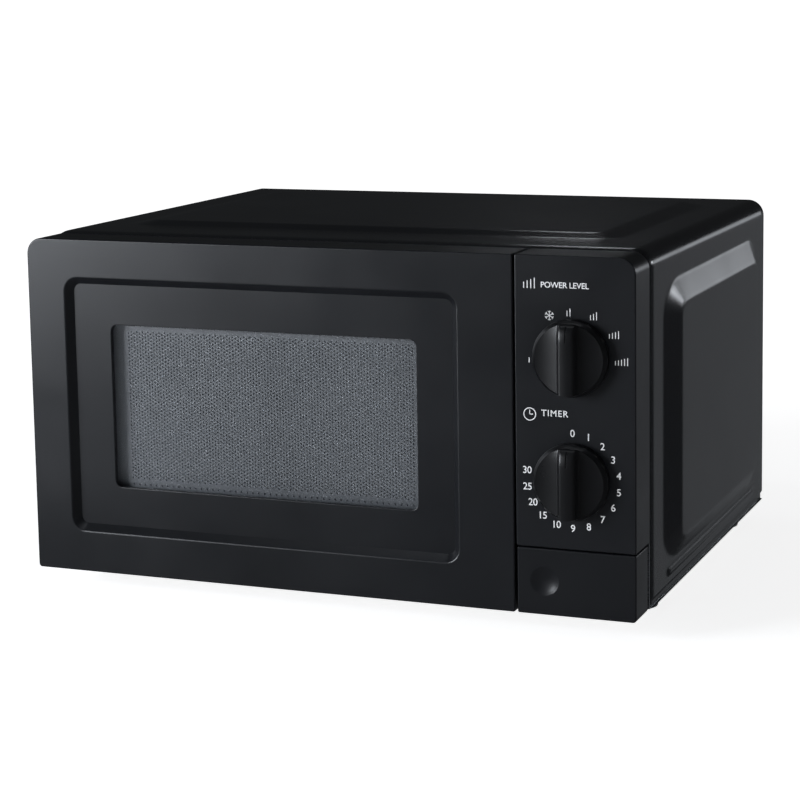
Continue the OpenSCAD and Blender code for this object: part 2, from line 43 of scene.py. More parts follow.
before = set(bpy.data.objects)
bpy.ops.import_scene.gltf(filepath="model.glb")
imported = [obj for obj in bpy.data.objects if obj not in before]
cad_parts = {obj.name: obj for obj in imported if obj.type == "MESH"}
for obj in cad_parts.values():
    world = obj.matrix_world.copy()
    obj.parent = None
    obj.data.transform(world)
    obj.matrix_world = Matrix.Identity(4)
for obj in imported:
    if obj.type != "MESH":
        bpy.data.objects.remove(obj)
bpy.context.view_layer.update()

MM = 0.001
# Depth of the front face and height of the front's foot, in metres
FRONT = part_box("control_panel")[0].y
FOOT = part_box("release_key")[0].z


def span(node):
    """Lowest and highest corner of a CAD part in millimetres, in the front's own measures.

    Depth is counted from the front face and height from its foot.
    """
    return tuple((np.array(corner) - (0, FRONT, FOOT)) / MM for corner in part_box(node))


def placed(points):
    """Millimetres in the front's own measures turned into metres in the frame."""
    return np.asarray(points, float) * MM + (0, FRONT, FOOT)


# ---------------------------------------------------------------- sizes and colours


def length(label, text, default):
    """A size property in metres, with its default given in millimetres."""
    return bpy.props.FloatProperty(name=label, description=text, default=default * MM, min=0, precision=5,
                                   subtype="DISTANCE", unit="LENGTH")


def colour(label, text, default):
    """A colour property."""
    return bpy.props.FloatVectorProperty(name=label, description=text, default=default, size=3, min=0, max=1,
                                         subtype="COLOR")


class CaseSizes(bpy.types.PropertyGroup):
    """Sizes of the wrap-over cabinet."""

    fold: length("Fold radius", "Radius where the top turns into the sides", 12)
    roll: length("Front roll", "How far the front edge of the sheet turns in", 1.6)
    roll_depth: length("Front roll depth", "Depth over which the front edge turns in", 9)
    side_rise: length("Side rise", "How far the pressed panel of a side stands out", 6)
    top_rise: length("Top rise", "How far the pressed panel of the top stands up", 3)
    bead: length("Foot bead", "How far the sheet steps in along its lower edge", 1.3)
    rib: length("Rib", "How far the long rib under a side's pressed panel stands out", 1.4)


class FrontSizes(bpy.types.PropertyGroup):
    """Sizes of the door, the control panel and the key."""

    edge: length("Edge rounding", "Radius along the front edges", 0.9)
    corner: length("Corner radius", "Radius of the two upper corners", 11)
    recess: length("Recess", "Depth of the recess round the window", 5.5)
    rim: length("Recess rim", "Rounding where the front turns into the recess", 2.0)
    bezel_corner: length("Recess corner", "Corner radius of the recess", 11)
    window_corner: length("Window corner", "Corner radius of the window", 5)
    dish: length("Key dish", "Radius of the finger dish in the key", 9.4)


class ScreenSizes(bpy.types.PropertyGroup):
    """Sizes of the perforated screen behind the window."""

    pitch: length("Hole pitch", "Distance between neighbouring holes", 2.5)
    hole: length("Hole size", "Width of one hole across its corners", 1.55)
    sheet: length("Sheet", "Thickness of the perforated sheet", 1.0)


class KnobSizes(bpy.types.PropertyGroup):
    """Sizes of the two dial knobs."""

    face: length("Face depth", "How far the rim of the knob's face stands in front of the panel", 8)
    chamfer: length("Chamfer", "How far the face is smaller than the skirt", 2.2)
    ridge: length("Ridge width", "Width of the grip blade at its ridge", 10)
    ramp: length("Pointer ramp", "Length of the slope that carries the pointer line", 11)


class Colours(bpy.types.PropertyGroup):
    """Colours of what shows from outside."""

    paint: colour("Case paint", "Black paint of the cabinet", (0.009, 0.0098, 0.0115))
    plastic: colour("Front plastic", "Black plastic of the door and the panel", (0.009, 0.0098, 0.0118))
    knob: colour("Knob plastic", "Black plastic of the knobs", (0.005, 0.0052, 0.006))
    ink: colour("Markings", "White ink of the markings", (0.80, 0.81, 0.82))
    screen: colour("Screen", "Blue-grey paint of the perforated screen", (0.165, 0.178, 0.195))
    film: colour("Film", "Pale film behind the screen", (0.62, 0.65, 0.68))
    floor: colour("Floor", "Pale floor and backdrop", (0.86, 0.86, 0.86))


# ---------------------------------------------------------------- meshes from numpy


def grid_faces(rows, cols, wrap_rows=False, wrap_cols=False, start=0):
    """Quads between neighbouring points of a rows-by-cols grid, as one whole array."""
    i = np.arange(rows if wrap_rows else rows - 1)[:, None]
    j = np.arange(cols if wrap_cols else cols - 1)[None, :]
    low, high = i * cols, ((i + 1) % rows) * cols
    right = (j + 1) % cols
    quads = np.stack([low + j, low + right, high + right, high + j], axis=-1)
    return quads.reshape(-1, 4) + start


def join_grids(*grids):
    """Several (points, wrap_rows, wrap_cols) grids as one list of points and one of quads."""
    points, faces, start = [], [], 0
    for grid, wrap_rows, wrap_cols in grids:
        rows, cols = grid.shape[:2]
        points.append(grid.reshape(-1, 3))
        faces.append(grid_faces(rows, cols, wrap_rows, wrap_cols, start))
        start += rows * cols
    return np.concatenate(points), np.concatenate(faces)


def new_piece(name, shape, finish, body, replaces=(), sharp=30, outward=True):
    """A finished piece: its doubles merged, its faces turned outward, shaded smooth up to the sharp angle.

    The shape is (points, faces). The piece stands for the CAD parts that it replaces, which are hidden.
    """
    points, faces = shape
    mesh = bpy.data.meshes.new(name)
    mesh.from_pydata(placed(points).tolist(), [], faces.tolist() if hasattr(faces, "tolist") else faces)
    tidy = bmesh.new()
    tidy.from_mesh(mesh)
    bmesh.ops.remove_doubles(tidy, verts=tidy.verts, dist=1e-6)
    bmesh.ops.dissolve_degenerate(tidy, edges=tidy.edges, dist=1e-7)
    if outward:
        bmesh.ops.recalc_face_normals(tidy, faces=tidy.faces)
    tidy.to_mesh(mesh)
    tidy.free()
    shade(mesh, sharp)
    mesh.materials.append(finishes()[finish])
    piece = bpy.data.objects.new(name, mesh)
    bpy.context.scene.collection.objects.link(piece)
    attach(piece, body)
    if replaces:
        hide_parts(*replaces)
    return piece


def shade(mesh, sharp):
    """Smooth shading with edges kept sharp above an angle."""
    mesh.shade_smooth()
    mesh.set_sharp_from_angle(angle=math.radians(sharp))


def as_mesh(item):
    """The mesh of an object as it stands, with its curve or its modifiers worked out."""
    return bpy.data.meshes.new_from_object(item.evaluated_get(bpy.context.evaluated_depsgraph_get()))


def thicken(piece, thickness):
    """Gives a single skin its sheet thickness, inward from the outer face."""
    wall = piece.modifiers.new("sheet", "SOLIDIFY")
    wall.thickness = thickness
    wall.offset = -1


def ring(outline, depth):
    """An outline in width and height set at one depth."""
    return np.column_stack([outline[:, 0], np.full(len(outline), float(depth)), outline[:, 1]])


def box_shape(low, high):
    """A closed box between its lowest and its highest corner."""
    outline = np.array([[low[0], low[2]], [high[0], low[2]], [high[0], high[2]], [low[0], high[2]]])
    points = np.concatenate([ring(outline, low[1]), ring(outline, high[1])])
    return points, [[0, 1, 2, 3], [7, 6, 5, 4], [0, 4, 5, 1], [1, 5, 6, 2], [2, 6, 7, 3], [3, 7, 4, 0]]


def notched(piece, boxes, sharp=30):
    """Cuts box-shaped notches, each given by two corners, and keeps the result as the mesh."""
    for low, high in boxes:
        points, faces = box_shape(low, high)
        mesh = bpy.data.meshes.new("notch")
        mesh.from_pydata(placed(points).tolist(), [], faces)
        cutter = bpy.data.objects.new("notch", mesh)
        bpy.context.scene.collection.objects.link(cutter)
        step = piece.modifiers.new("notch", "BOOLEAN")
        step.operation, step.solver, step.object = "DIFFERENCE", "EXACT", cutter
        cut = as_mesh(piece)
        piece.modifiers.remove(step)
        piece.data = cut
        bpy.data.objects.remove(cutter)
        bpy.data.meshes.remove(mesh)
    shade(piece.data, sharp)


def round_rect(x0, x1, z0, z1, radii, inset=0.0, corner=10, side=6):
    """Rounded rectangle moved in by an inset: four quarter circles joined by evenly spaced straight runs.

    radii are those of the lower left, lower right, upper right and upper left corner.
    """
    x0, x1, z0, z1 = x0 + inset, x1 - inset, z0 + inset, z1 - inset
    r = np.maximum(np.array(radii, float) - inset, 0.02)
    centres = np.array([[x0 + r[0], z0 + r[0]], [x1 - r[1], z0 + r[1]], [x1 - r[2], z1 - r[2]],
                        [x0 + r[3], z1 - r[3]]])
    turns = np.radians(np.array([180, 270, 0, 90]))[:, None] + np.linspace(0, math.pi / 2, corner)[None, :]
    arcs = centres[:, None, :] + r[:, None, None] * np.stack([np.cos(turns), np.sin(turns)], axis=-1)
    ends = np.roll(arcs[:, 0], -1, axis=0)
    runs = np.linspace(arcs[:, -1], ends, side + 2)[1:-1].transpose(1, 0, 2)
    return np.concatenate([arcs, runs], axis=1).reshape(-1, 2)


def rounded_steps(radius, count=6):
    """Inset and depth along a quarter circle that turns a side wall into the front face."""
    turn = np.linspace(0, math.pi / 2, count)
    return zip(radius * (1 - np.cos(turn)), radius * (1 - np.sin(turn)))


def lathe(profile, centre, turns):
    """A profile of (radius, height) pairs carried round an upright axis through the centre."""
    radius, height = np.array(profile, float).T
    angle = np.linspace(0, 2 * math.pi, turns, endpoint=False)
    across = radius[:, None] * np.cos(angle)
    along = radius[:, None] * np.sin(angle)
    rise = np.broadcast_to(height[:, None], across.shape)
    return np.stack([across, along, rise], axis=-1) + np.array(centre, float)


def smooth_step(t, ease=0.85):
    """Rises from 0 to 1: t - ease sin(2 pi t) / (2 pi), whose ends are level at an ease of 1."""
    t = np.clip(t, 0, 1)
    return t - ease * np.sin(2 * math.pi * t) / (2 * math.pi)


def bent_slope(t, bend=0.14):
    """Rises from 0 to 1 along a straight slope between two parabolas, each over the bend's share of the run."""
    t = np.clip(t, 0, 1)
    slope = 1 / (1 - bend)
    foot = slope * t ** 2 / (2 * bend)
    head = 1 - slope * (1 - t) ** 2 / (2 * bend)
    return np.where(t < bend, foot, np.where(t > 1 - bend, head, slope * (t - bend / 2)))


def pressed_panel(a, b, a_edges, b_edges, squareness=2.2, share=0.30):
    """Height from 0 to 1 of a pressed panel over two lengths a and b.

    The edges along each length are (outer, inner, inner, outer). How far a point lies out from the flat middle
    is counted in each length's own slope width, starting a share inside the inner edge. A rounded corner norm
    joins the two, and a bent slope gives the height.
    """
    def out(value, edges):
        low, high = (edges[1] - edges[0]) / (1 - share), (edges[3] - edges[2]) / (1 - share)
        under = (edges[1] + share * low - value) / low
        over = (value - edges[2] + share * high) / high
        return np.clip(np.maximum(under, over), 0, None)

    away = (out(a, a_edges) ** squareness + out(b, b_edges) ** squareness) ** (1 / squareness)
    return bent_slope((1 - away) / (1 - share))


def long_rib(a, b, a_ends, middle, half):
    """Height from 0 to 1 of a long rib: a raised cosine round its centre line, with round ends."""
    beyond = np.maximum(np.maximum(a_ends[0] - a, a - a_ends[1]), 0)
    away = np.sqrt((beyond / (2 * half)) ** 2 + ((b - middle) / half) ** 2)
    return 0.5 + 0.5 * np.cos(math.pi * np.clip(away, 0, 1))


# ---------------------------------------------------------------- materials


class Finish:
    """A material under construction: object coordinates, a shader and short ways to join nodes."""

    def __init__(self, name, base, roughness, metallic=0.0, **sockets):
        self.material = bpy.data.materials.new(name)
        self.material.use_nodes = True
        self.tree = self.material.node_tree
        self.shader = self.tree.nodes["Principled BSDF"]
        self.base = base
        self.fill(self.shader, Base_Color=(*base, 1), Roughness=roughness, Metallic=metallic, **sockets)
        self.place = self.node("TexCoord").outputs["Object"]

    def link(self, output, socket):
        self.tree.links.new(output, socket)

    def fill(self, node, **inputs):
        """Sets a node's inputs by name, with underscores for spaces."""
        for label, value in inputs.items():
            node.inputs[label.replace("_", " ")].default_value = value
        return node

    def node(self, kind, **inputs):
        return self.fill(self.tree.nodes.new("ShaderNode" + kind), **inputs)

    def pattern(self, kind, vector=None, **inputs):
        """A node that reads object coordinates, or another vector."""
        node = self.node(kind, **inputs)
        self.link(vector or self.place, node.inputs["Vector"])
        return node

    def stretched(self, scale):
        """Object coordinates stretched by a scale along each axis."""
        return self.pattern("Mapping", Scale=scale).outputs["Vector"]

    def noise(self, scale, detail=3.0, vector=None):
        return self.pattern("TexNoise", vector, Scale=scale, Detail=detail, Roughness=0.55).outputs["Fac"]

    def cells(self, scale, output="Distance"):
        return self.pattern("TexVoronoi", Scale=scale).outputs[output]

    def waves(self, scale, direction="X", distortion=0.0):
        node = self.pattern("TexWave", Scale=scale, Distortion=distortion)
        node.bands_direction = direction
        return node.outputs["Fac"]

    def ranged(self, value, low, high, from_low=0.3, from_high=0.7):
        node = self.node("MapRange", From_Min=from_low, From_Max=from_high, To_Min=low, To_Max=high)
        self.link(value, node.inputs["Value"])
        return node.outputs["Result"]

    def blended(self, value, start, end):
        """The base colour led from one colour to another by a value from 0 to 1."""
        node = self.node("Mix")
        node.data_type = "RGBA"
        self.fill(node, A=(*start, 1), B=(*end, 1))
        self.link(value, node.inputs["Factor"])
        self.link(node.outputs["Result"], self.shader.inputs["Base Color"])
        return self

    def tinted(self, value, low, high):
        """The base colour between two strengths of itself, led by a value."""
        weak, strong = ([min(c * share, 1) for c in self.base] for share in (low, high))
        return self.blended(self.ranged(value, 0, 1), weak, strong)

    def rough(self, value, low, high):
        self.link(self.ranged(value, low, high), self.shader.inputs["Roughness"])
        return self

    def bumped(self, value, depth, strength=1.0):
        """A bump of a depth in millimetres."""
        node = self.node("Bump", Strength=strength, Distance=depth * MM)
        self.link(value, node.inputs["Height"])
        before = self.shader.inputs["Normal"].links
        if before:
            self.link(before[0].from_socket, node.inputs["Normal"])
        self.link(node.outputs["Normal"], self.shader.inputs["Normal"])
        return self


def painted_steel(name, base, roughness=0.3, gloss=0.5):
    """Sprayed paint on sheet steel: orange peel, a fine dusting and slow changes of gloss."""
    made = Finish(name, base, roughness, Specular_IOR_Level=gloss)
    made.tinted(made.noise(9, 4), 0.9, 1.12)
    made.rough(made.noise(14, 5), roughness - 0.02, roughness + 0.03)
    made.bumped(made.noise(420, 2), 0.006, 0.4)
    return made.bumped(made.noise(60, 2), 0.010, 0.2).material


def moulded_plastic(name, base, roughness=0.4, grain=1500):
    """Moulded plastic: fine spark-eroded grain, slow sheen changes and faint fingermarks."""
    made = Finish(name, base, roughness, Specular_IOR_Level=0.5)
    made.tinted(made.noise(7, 4), 0.85, 1.2)
    made.rough(made.noise(18, 6), roughness - 0.03, roughness + 0.04)
    return made.bumped(made.noise(grain, 2), 0.008, 0.5).material


def galvanised(name, base=(0.52, 0.54, 0.56)):
    """Zinc-coated sheet: spangle cells of differing tone and gloss, with fine rolling lines."""
    made = Finish(name, base, 0.38, metallic=0.9)
    made.tinted(made.cells(210, "Color"), 0.93, 1.05)
    made.rough(made.cells(210, "Color"), 0.36, 0.42)
    return made.bumped(made.noise(300, 3, made.stretched((1, 12, 1))), 0.01, 0.4).material


def pressed_metal(name, base, roughness=0.35, grain=(1, 1, 14)):
    """Bright or dull metal with drawn scratches along one axis."""
    made = Finish(name, base, roughness, metallic=1.0)
    scratches = made.noise(220, 5, made.stretched(grain))
    made.tinted(scratches, 0.8, 1.15)
    made.rough(scratches, roughness - 0.08, roughness + 0.12)
    return made.bumped(scratches, 0.012, 0.5).material


def enamel(name, base):
    """Enamelled cooking space: pale coat with small flecks, gentle waviness and a soft gloss."""
    made = Finish(name, base, 0.28)
    fleck = made.ranged(made.cells(420), 1, 0, 0.10, 0.16)
    made.blended(fleck, base, [c * 0.7 for c in base])
    made.rough(made.noise(30, 4), 0.2, 0.38)
    return made.bumped(made.noise(90, 3), 0.015, 0.3).material


def winding(name, base):
    """Lacquered copper wire laid side by side, with painted shade darkening the grooves between the turns."""
    made = Finish(name, base, 0.3, metallic=0.85)
    turns = made.waves(260, "Z", 0.6)
    # The darker bands between the turns are painted shade in the grooves
    made.tinted(turns, 0.45, 1.1)
    return made.bumped(turns, 0.35).material


def laminations(name, base):
    """Stacked core sheets seen on edge."""
    made = Finish(name, base, 0.5, metallic=0.7)
    sheets = made.waves(320, "Y")
    made.tinted(sheets, 0.6, 1.15)
    return made.bumped(sheets, 0.2).material


def mica(name, base):
    """Pressed mica board: flakes of differing tone with a pearly gloss."""
    made = Finish(name, base, 0.35, Sheen_Weight=0.2)
    made.tinted(made.cells(150, "Color"), 0.75, 1.2)
    return made.bumped(made.noise(180, 4), 0.05).material


def glass(name, base, roughness, alpha):
    """Clear or smoked pane: mostly see-through, with a faint haze and smears."""
    made = Finish(name, base, roughness, Alpha=alpha, IOR=1.5)
    made.tinted(made.noise(12, 4), 0.9, 1.15)
    return made.rough(made.noise(25, 5), roughness - 0.02, roughness + 0.05).material


def rubber(name, base):
    """Soft black rubber: dull, slightly dusty, with a moulded grain."""
    made = Finish(name, base, 0.75)
    made.tinted(made.noise(60, 5), 0.8, 1.5)
    return made.bumped(made.noise(800, 3), 0.04).material


def ink(name, base):
    """Screen-printed ink: even, with a faint weave of the print screen."""
    made = Finish(name, base, 0.5)
    made.tinted(made.noise(300, 3), 0.93, 1.05)
    return made.bumped(made.noise(2200, 1), 0.006).material


def board(name, base):
    """Brown laminate board with a faint cloth weave."""
    made = Finish(name, base, 0.5)
    made.tinted(made.waves(500, "X", 1.5), 0.85, 1.1)
    return made.bumped(made.noise(500, 2), 0.02).material


def material_set(colours):
    """Every finish of the oven under one plain name each."""
    return {
        "case_paint": painted_steel("case paint", colours.paint, 0.21),
        "front_plastic": moulded_plastic("front plastic", colours.plastic, 0.31),
        "knob_plastic": moulded_plastic("knob plastic", colours.knob, 0.30, 1800),
        "key_plastic": moulded_plastic("key plastic", tuple(c * 0.9 for c in colours.plastic), 0.31),
        "marking_ink": ink("marking ink", colours.ink),
        "screen_paint": painted_steel("screen paint", colours.screen, 0.34, 1.0),
        "film": moulded_plastic("door film", colours.film, 0.3, 900),
        "smoked_pane": glass("smoked pane", (0.02, 0.024, 0.03), 0.12, 0.12),
        "turntable_glass": glass("turntable glass", (0.75, 0.82, 0.80), 0.05, 0.35),
        "choke_plastic": moulded_plastic("choke cover plastic", (0.02, 0.021, 0.023), 0.5, 900),
        "cream_plastic": moulded_plastic("cream plastic", (0.72, 0.69, 0.60), 0.45, 900),
        "white_plastic": moulded_plastic("white plastic", (0.80, 0.80, 0.76), 0.4, 900),
        "red_plastic": moulded_plastic("red plastic", (0.55, 0.05, 0.04), 0.4, 900),
        "black_plastic": moulded_plastic("black plastic", (0.02, 0.02, 0.022), 0.45, 900),
        "cavity_enamel": enamel("cavity enamel", (0.66, 0.67, 0.66)),
        "zinc_sheet": galvanised("zinc sheet"),
        "bright_steel": pressed_metal("bright steel", (0.62, 0.63, 0.65), 0.25),
        "dull_steel": pressed_metal("dull steel", (0.38, 0.39, 0.41), 0.42),
        "spring_steel": pressed_metal("spring steel", (0.5, 0.5, 0.52), 0.3),
        "copper": winding("copper winding", (0.72, 0.30, 0.14)),
        "core_steel": laminations("core steel", (0.16, 0.165, 0.17)),
        "fin_metal": pressed_metal("fin metal", (0.68, 0.42, 0.28), 0.35),
        "mica_board": mica("mica board", (0.55, 0.47, 0.34)),
        "laminate": board("laminate board", (0.34, 0.20, 0.09)),
        "foot_rubber": rubber("foot rubber", (0.02, 0.02, 0.02)),
        "lamp_glass": glass("lamp glass", (0.9, 0.88, 0.8), 0.06, 0.4),
    }


KEPT_NODES = {
    "zinc_sheet": ("rear_panel", "base_plate", "waveguide", "magnetron_yoke", "fan_duct", "lamp_holder",
                   "turntable_motor", "capacitor_strap", "upper_hinge", "lower_hinge"),
    "bright_steel": ("capacitor", "case_screws", "key_pin", "timer_bell", "thermal_cutout", "front_plate"),
    "spring_steel": ("key_spring", "latch_spring"),
    "fin_metal": ("magnetron_core",),
    "core_steel": ("transformer_core", "fan_motor"),
    "copper": ("transformer_windings",),
    "mica_board": ("mica_cover",),
    "laminate": ("filter_board",),
    "black_plastic": ("hv_diode", "microswitches"),
    "cream_plastic": ("timer_body", "power_switch", "latch_board"),
    "white_plastic": ("fan_blade", "timer_shaft", "power_shaft", "release_lever", "door_latch", "roller_ring",
                      "roller_a", "roller_b", "roller_c", "turntable_coupler"),
    "red_plastic": ("switch_plungers",),
    "choke_plastic": ("choke_cover",),
    "cavity_enamel": ("cavity",),
    "foot_rubber": ("cord_gland",),
    "lamp_glass": ("lamp_bulb",),
    "film": ("inner_film",),
}


def finishes():
    """The finishes made by the first operator, by their plain names."""
    return {key: bpy.data.materials[name] for key, name in bpy.context.scene["microwave_finishes"].items()}


# ---------------------------------------------------------------- operators


class MICROWAVE_OT_finishes(bpy.types.Operator):
    """Make every finish and give the carried-over CAD parts theirs"""

    bl_idname = "microwave.finishes"
    bl_label = "Finishes"

    def execute(self, context):
        made = material_set(context.scene.microwave_colours)
        context.scene["microwave_finishes"] = {key: material.name for key, material in made.items()}
        for key, nodes in KEPT_NODES.items():
            for node in nodes:
                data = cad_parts[node].data
                data.materials.clear()
                data.materials.append(made[key])
        return {"FINISHED"}


# Pressed panels in depth: where their slopes start and end, in from the front edge and in from the rear edge
SIDE_SLOPES = (27.5, 59.5), (47, 28)
LID_SLOPES = (44.5, 59), (50, 30)
# Pressed panels in height up a side, and in width across the top
SIDE_HEIGHTS = (19, 36, 193, 212.5)
LID_WIDTHS = (-187, -168, 168, 187)
# Long rib of a side: its ends in from the front and the rear edge, its height and its half width
RIB_ENDS, RIB_HEIGHT, RIB_HALF = (45, 38), 14.2, 4.2
# Lower edge: where the sheet steps in and over what height, the height and reach of the lip, the lip's bend
BEAD_START, BEAD_RISE, LIP_HEIGHT, LIP, BEND = 4.2, 2.4, -1.0, 8, 1.5


def depth_edges(slopes, low, high):
    """A panel's edges in depth, from how far they lie in from the front and the rear edge."""
    (outer, inner), (rear_inner, rear_outer) = slopes
    return low[1] + outer, low[1] + inner, high[1] - rear_inner, high[1] - rear_outer


def merged_lines(start, end, coarse, *stretches):
    """Grid lines from start to end: coarse ones, and finer ones inside each (from, to, step) stretch."""
    lines = [np.linspace(a, b, int(round((b - a) / step)) + 1) for a, b, step in stretches]
    plain = np.linspace(start, end, int(round((end - start) / coarse)) + 1)
    for a, b, step in stretches:
        plain = plain[(plain < a - 0.3) | (plain > b + 0.3)]
    lines = np.sort(np.concatenate([plain, *lines]))
    return lines[np.concatenate([[True], np.diff(lines) > 0.25])]


class MICROWAVE_OT_case(bpy.types.Operator):
    """Build the wrap-over cabinet: sides and top from one sheet with pressed panels"""

    bl_idname = "microwave.case"
    bl_label = "Wrap-over case"

    def execute(self, context):
        sizes = context.scene.microwave_case
        low, high = span("outer_case")
        half, top = high[0] - sizes.side_rise / MM, high[2] - sizes.top_rise / MM
        depth_side, depth_top = depth_edges(SIDE_SLOPES, low, high), depth_edges(LID_SLOPES, low, high)
        fold, foot = sizes.fold / MM, LIP_HEIGHT + BEND
        # Grid lines: coarse on the flats, fine on the rolled front edge, the slopes, the rib and the folds
        depth = merged_lines(low[1], high[1], 9, (low[1], low[1] + 10, 1.0),
                             (depth_side[0] - 3, depth_side[0] + 6, 0.9),
                             (depth_side[0] + 6, depth_top[1] + 8, 1.9),
                             (depth_side[2] - 14, depth_side[3] + 3, 1.7))
        rise = merged_lines(foot, top - fold, 8, (foot, 22, 0.8), (22, 50, 1.7), (178, top - fold, 1.5))
        across = merged_lines(fold - half, half - fold, 9, (fold - half, -157, 1.8), (157, half - fold, 1.8))
        turn = np.linspace(0, math.pi / 2, 14)[1:-1]
        lip = np.linspace(-LIP, -BEND, 4)
        # One half of the folded line from its lip up the right-hand side and round the fold
        line = np.concatenate([
            np.column_stack([half + lip, np.full(4, LIP_HEIGHT)]),
            np.column_stack([half - BEND + BEND * np.sin(turn), foot - BEND * np.cos(turn)]),
            np.column_stack([np.full(len(rise), half), rise]),
            np.column_stack([half - fold + fold * np.cos(turn), top - fold + fold * np.sin(turn)]),
        ])
        over = np.column_stack([across[::-1], np.full(len(across), top)])
        whole = np.concatenate([line, over, line[::-1] * (-1, 1)])
        along = np.gradient(whole, axis=0)
        away = np.column_stack([along[:, 1], -along[:, 0]])
        away /= np.linalg.norm(away, axis=1)[:, None]
        x, z = whole[:, 0][:, None], whole[:, 1][:, None]
        y = depth[None, :]
        on_side = np.abs(whole[:, 0])[:, None] >= half - 0.01
        side = pressed_panel(y, z, depth_side, SIDE_HEIGHTS) * sizes.side_rise / MM * on_side
        lid = pressed_panel(y, x, depth_top, LID_WIDTHS) * sizes.top_rise / MM * (z >= top - 0.01)
        roll = -sizes.roll / MM * np.clip(1 - (y - low[1]) / (sizes.roll_depth / MM), 0, 1) ** 2
        bead = -sizes.bead / MM * (1 - smooth_step((z - BEAD_START) / BEAD_RISE)) * on_side
        rib = long_rib(y, z, (low[1] + RIB_ENDS[0], high[1] - RIB_ENDS[1]), RIB_HEIGHT, RIB_HALF)
        rib = rib * sizes.rib / MM * on_side
        shift = side + lid + roll + bead + rib
        grid = np.stack([x + away[:, 0][:, None] * shift, np.broadcast_to(y, shift.shape),
                         z + away[:, 1][:, None] * shift], axis=-1)
        piece = new_piece("case_wrap", join_grids((grid, False, False)), "case_paint", "chassis",
                          ("outer_case",), sharp=50, outward=False)
        thicken(piece, 1.0 * MM)
        return {"FINISHED"}


def shell_rings(outline, edge, back, inset, lip):
    """Rings of an open-backed moulding: inner wall, rear edge, outer wall and rounded front edge."""
    rings = [ring(outline(inset), lip), ring(outline(inset), back - 0.4), ring(outline(inset - 0.4), back)]
    rings += [ring(outline(0.4), back), ring(outline(0), back - 0.4), ring(outline(0), edge + 0.06)]
    rings += [ring(outline(step), depth) for step, depth in rounded_steps(edge)]
    return rings + [ring(outline(edge + 0.06), 0)]


def recess_rings(outline, rim, depth, steep=50):
    """Rings from the face down into a recess: a rounded rim, a straight slope and a crisp inner corner."""
    turn = np.radians(np.linspace(0, steep, 7))
    steps = [(-0.06, 0), *zip(rim * np.sin(turn), rim * (1 - np.cos(turn)))]
    run = (depth - 0.12 - steps[-1][1]) / math.tan(math.radians(steep))
    last = steps[-1][0] + run
    steps += [(steps[-1][0] + 0.05, steps[-1][1] + 0.06), (last, depth - 0.12), (last + 0.12, depth),
              (last + 0.2, depth)]
    return [ring(outline(inset), y) for inset, y in steps]


def hub(centre, count, depth):
    """A ring drawn in to one point, which closes a disc."""
    return ring(np.tile(centre, (count, 1)), depth)


# Recess in the door: in from its left and right edge, then the heights of its foot and its top
BEZEL_IN, BEZEL_HEIGHTS = (28, 37.5), (28, 209.5)
# How far the pane reaches behind the edge of its hole in the CAD, and in the visual model
PANE_LAP, PANE_REACH = 4, 3.5
# Room for the hinge arms: their feet, height and width, and how far behind the recess it starts
HINGE_FEET, HINGE_TALL, HINGE_WIDE, HINGE_BEHIND = (5, 216), 4.8, 3.1, 3.7


class MICROWAVE_OT_door(bpy.types.Operator):
    """Build the door's moulded frame with its recessed bezel and window hole, and the pane behind it"""

    bl_idname = "microwave.door"
    bl_label = "Door frame"

    def execute(self, context):
        sizes = context.scene.microwave_front
        low, high = span("door_frame")
        pane_low, pane_high = span("door_window")
        recess, back = sizes.recess / MM, high[1]
        x0, x1 = pane_low[0] + PANE_LAP, pane_high[0] - PANE_LAP
        z0, z1 = pane_low[2] + PANE_LAP, pane_high[2] - PANE_LAP
        outline = partial(round_rect, low[0], high[0], low[2], high[2], (2.5, 1.2, 1.2, sizes.corner / MM))
        bezel = partial(round_rect, low[0] + BEZEL_IN[0], high[0] - BEZEL_IN[1], *BEZEL_HEIGHTS,
                        (sizes.bezel_corner / MM,) * 4)
        window = partial(round_rect, x0, x1, z0, z1, (sizes.window_corner / MM,) * 4)
        rings = shell_rings(outline, sizes.edge / MM, back, 1.6, pane_low[1])
        rings += recess_rings(bezel, sizes.rim / MM, recess)
        # Rim of the window and the wall of its hole
        for inset, depth in ((-0.5, 0), (-0.4, 0), (-0.1, 0.1), (0, 0.4)):
            rings.append(ring(window(inset), recess + depth))
        rings.append(ring(window(0), pane_low[1]))
        moulding = new_piece("door_moulding", join_grids((np.array(rings), True, True)), "front_plastic",
                             "door", ("door_frame",))
        # Room for the two hinge arms, and a shorter rear edge along the hinge side
        left, right = low[0] - 1, low[0] + HINGE_WIDE
        notches = [((left, recess + HINGE_BEHIND, z), (right, back + 1, z + HINGE_TALL)) for z in HINGE_FEET]
        notched(moulding, [*notches, ((left, back - 1.5, low[2] - 1), (right, back + 1, high[2] + 1))])
        edge = window(-PANE_REACH)
        centre = ((x0 + x1) / 2, (z0 + z1) / 2)
        front, rear = pane_low[1] + 0.02, pane_high[1] - 0.05
        pane = [hub(centre, len(edge), front), ring(edge, front), ring(edge, rear),
                hub(centre, len(edge), rear)]
        new_piece("window_pane", join_grids((np.array(pane), False, True)), "smoked_pane", "door",
                  ("door_window",))
        return {"FINISHED"}


